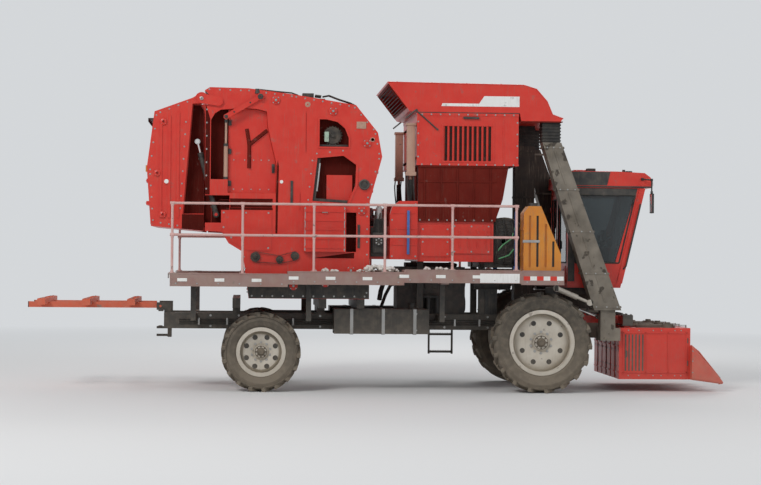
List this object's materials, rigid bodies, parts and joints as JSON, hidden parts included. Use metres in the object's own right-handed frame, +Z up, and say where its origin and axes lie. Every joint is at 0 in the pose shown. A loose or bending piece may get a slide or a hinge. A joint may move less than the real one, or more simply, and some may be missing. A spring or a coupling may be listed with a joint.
{
  "type": "cotton harvester with round baler",
  "caption": "Self-propelled cotton harvester: row picking units in front, cab, air ducts, accumulator, round baler with tailgate, side decks and a rear bale ramp.",
  "frame": {"origin": "on the ground, halfway along the length and width", "axes": "+X forward, +Y to the machine's left, +Z up"},
  "size_m": [11.0995, 3.54, 4.8697],
  "materials": {
    "red_paint": "semi-gloss, dusty",
    "dark_red_paint": "semi-gloss, dusty",
    "ramp_paint": "worn paint",
    "chassis_black": "satin, dusty",
    "axle_iron": "rough, dusty",
    "engine_iron": "rough",
    "rim_paint": "satin, dusty",
    "tyre": "dusty rubber",
    "rail_paint": "satin",
    "roller_steel": "worn",
    "rotor_steel": "worn",
    "rod_chrome": "polished",
    "duct_grey": "stained",
    "boot_rubber": "matt",
    "cab_glass": "tinted",
    "seat_fabric": "woven",
    "black_plastic": "matt",
    "amber_plastic": "moulded",
    "lamp_lens": "clear",
    "divider_paint": "scratched",
    "deck_paint": "dirty, faded"
  },
  "bodies": {
    "chassis": {"frame": "chassis_black", "front_axle": "axle_iron", "rear_axle": "axle_iron", "engine_block": "engine_iron", "fuel_tank": "black_plastic", "oil_tank": "chassis_black", "deck_right": "deck_paint", "deck_left": "deck_paint", "handrails": "rail_paint", "ladder": "chassis_black", "accumulator": "red_paint", "hopper": "dark_red_paint", "hood": "red_paint", "hood_grille": "chassis_black", "feeder": "red_paint", "baler_walls": "red_paint", "baler_covers": "red_paint", "baler_rollers": "roller_steel", "drive_cover": "red_paint", "tension_gear": "rail_paint", "ducts": "duct_grey", "duct_boots": "boot_rubber", "cab_shell": "red_paint", "cab_roof": "red_paint", "cab_glass": "cab_glass", "seat": "seat_fabric", "console": "black_plastic", "water_tank": "amber_plastic", "mirrors": "black_plastic", "lamps": "lamp_lens"},
    "knuckle_right": {"knuckle_right": "axle_iron"},
    "knuckle_left": {"knuckle_left": "axle_iron"},
    "front_wheel_right": {"front_tyre_right": "tyre", "front_rim_right": "rim_paint"},
    "front_wheel_left": {"front_tyre_left": "tyre", "front_rim_left": "rim_paint"},
    "rear_wheel_right": {"rear_tyre_right": "tyre", "rear_rim_right": "rim_paint"},
    "rear_wheel_left": {"rear_tyre_left": "tyre", "rear_rim_left": "rim_paint"},
    "tailgate": {"tailgate": "red_paint", "tailgate_rollers": "roller_steel"},
    "tailgate_barrels": {"tailgate_barrels": "chassis_black"},
    "tailgate_rods": {"tailgate_rods": "rod_chrome"},
    "lift_barrels": {"lift_barrels": "chassis_black"},
    "lift_rods": {"lift_rods": "rod_chrome"},
    "cab_door": {"cab_door": "red_paint", "door_glass": "cab_glass"},
    "header": {"toolbar": "red_paint", "picking_units": "red_paint", "dividers": "divider_paint", "unit_necks": "duct_grey"},
    "bale_ramp": {"bale_ramp": "ramp_paint"},
    "rotor_right_front": {"rotor_right_front": "rotor_steel"},
    "rotor_right_rear": {"rotor_right_rear": "rotor_steel"},
    "rotor_middle_front": {"rotor_middle_front": "rotor_steel"},
    "rotor_middle_rear": {"rotor_middle_rear": "rotor_steel"},
    "rotor_left_front": {"rotor_left_front": "rotor_steel"},
    "rotor_left_rear": {"rotor_left_rear": "rotor_steel"}
  },
  "joints": [
    {"name": "front_wheel_right_spin", "type": "hinge", "parent": "chassis", "child": "front_wheel_right", "pos_m": [2.55, -1.35, 0.79], "axis": [0, 1, 0], "continuous": true},
    {"name": "steer_right", "type": "hinge", "parent": "chassis", "child": "knuckle_right", "pos_m": [-1.85, -1, 0.62], "axis": [0, 0, 1], "range_deg": [-30, 30]},
    {"name": "rear_wheel_right_spin", "type": "hinge", "parent": "knuckle_right", "child": "rear_wheel_right", "pos_m": [-1.85, -1.3, 0.62], "axis": [0, 1, 0], "continuous": true},
    {"name": "front_wheel_left_spin", "type": "hinge", "parent": "chassis", "child": "front_wheel_left", "pos_m": [2.55, 1.35, 0.79], "axis": [0, 1, 0], "continuous": true},
    {"name": "steer_left", "type": "hinge", "parent": "chassis", "child": "knuckle_left", "pos_m": [-1.85, 1, 0.62], "axis": [0, 0, 1], "range_deg": [-30, 30]},
    {"name": "rear_wheel_left_spin", "type": "hinge", "parent": "knuckle_left", "child": "rear_wheel_left", "pos_m": [-1.85, 1.3, 0.62], "axis": [0, 1, 0], "continuous": true},
    {"name": "header_lift", "type": "hinge", "parent": "chassis", "child": "header", "pos_m": [2.65, 0, 1.15], "axis": [0, -1, 0], "range_deg": [0, 12]},
    {"name": "lift_barrel_swing", "type": "hinge", "parent": "chassis", "child": "lift_barrels", "pos_m": [2.83, 0, 1.45], "axis": [0, -1, 0], "range_deg": [0, 14.5]},
    {"name": "lift_rod_slide", "type": "slide", "parent": "lift_barrels", "child": "lift_rods", "axis": [0.9406, 0, -0.3396], "range_m": [-0.08, 0]},
    {"name": "tailgate_swing", "type": "hinge", "parent": "chassis", "child": "tailgate", "pos_m": [-2.81, 0, 4.57], "axis": [0, 1, 0], "range_deg": [0, 60]},
    {"name": "tailgate_barrel_swing", "type": "hinge", "parent": "chassis", "child": "tailgate_barrels", "pos_m": [-2.57, 0, 2.76], "axis": [0, -1, 0], "range_deg": [0, 15]},
    {"name": "tailgate_rod_slide", "type": "slide", "parent": "tailgate_barrels", "child": "tailgate_rods", "axis": [-0.2545, 0, 0.9671], "range_m": [0, 0.6]},
    {"name": "bale_ramp_tilt", "type": "hinge", "parent": "chassis", "child": "bale_ramp", "pos_m": [-3.45, 0, 1.3], "axis": [0, -1, 0], "range_deg": [0, 28]},
    {"name": "cab_door_swing", "type": "hinge", "parent": "chassis", "child": "cab_door", "pos_m": [3.035, 0.8, 2.4], "axis": [0, 0, -1], "range_deg": [0, 85]},
    {"name": "rotor_right_front_spin", "type": "hinge", "parent": "header", "child": "rotor_right_front", "pos_m": [4.67, -0.915, 0.6], "axis": [0, 0, 1], "continuous": true},
    {"name": "rotor_right_rear_spin", "type": "hinge", "parent": "header", "child": "rotor_right_rear", "pos_m": [4.19, -0.605, 0.6], "axis": [0, 0, 1], "continuous": true},
    {"name": "rotor_middle_front_spin", "type": "hinge", "parent": "header", "child": "rotor_middle_front", "pos_m": [4.67, -0.155, 0.6], "axis": [0, 0, 1], "continuous": true},
    {"name": "rotor_middle_rear_spin", "type": "hinge", "parent": "header", "child": "rotor_middle_rear", "pos_m": [4.19, 0.155, 0.6], "axis": [0, 0, 1], "continuous": true},
    {"name": "rotor_left_front_spin", "type": "hinge", "parent": "header", "child": "rotor_left_front", "pos_m": [4.67, 0.605, 0.6], "axis": [0, 0, 1], "continuous": true},
    {"name": "rotor_left_rear_spin", "type": "hinge", "parent": "header", "child": "rotor_left_rear", "pos_m": [4.19, 0.915, 0.6], "axis": [0, 0, 1], "continuous": true}
  ],
  "couplings": [
    {"joint": "lift_barrel_swing", "follows": "header_lift", "ratio": 1.1476},
    {"joint": "lift_rod_slide", "follows": "header_lift", "m_per_rad": -0.33218},
    {"joint": "tailgate_barrel_swing", "follows": "tailgate_swing", "ratio": 0.23944},
    {"joint": "tailgate_rod_slide", "follows": "tailgate_swing", "m_per_rad": 0.54326},
    {"joint": "steer_left", "follows": "steer_right", "ratio": 1}
  ]
}
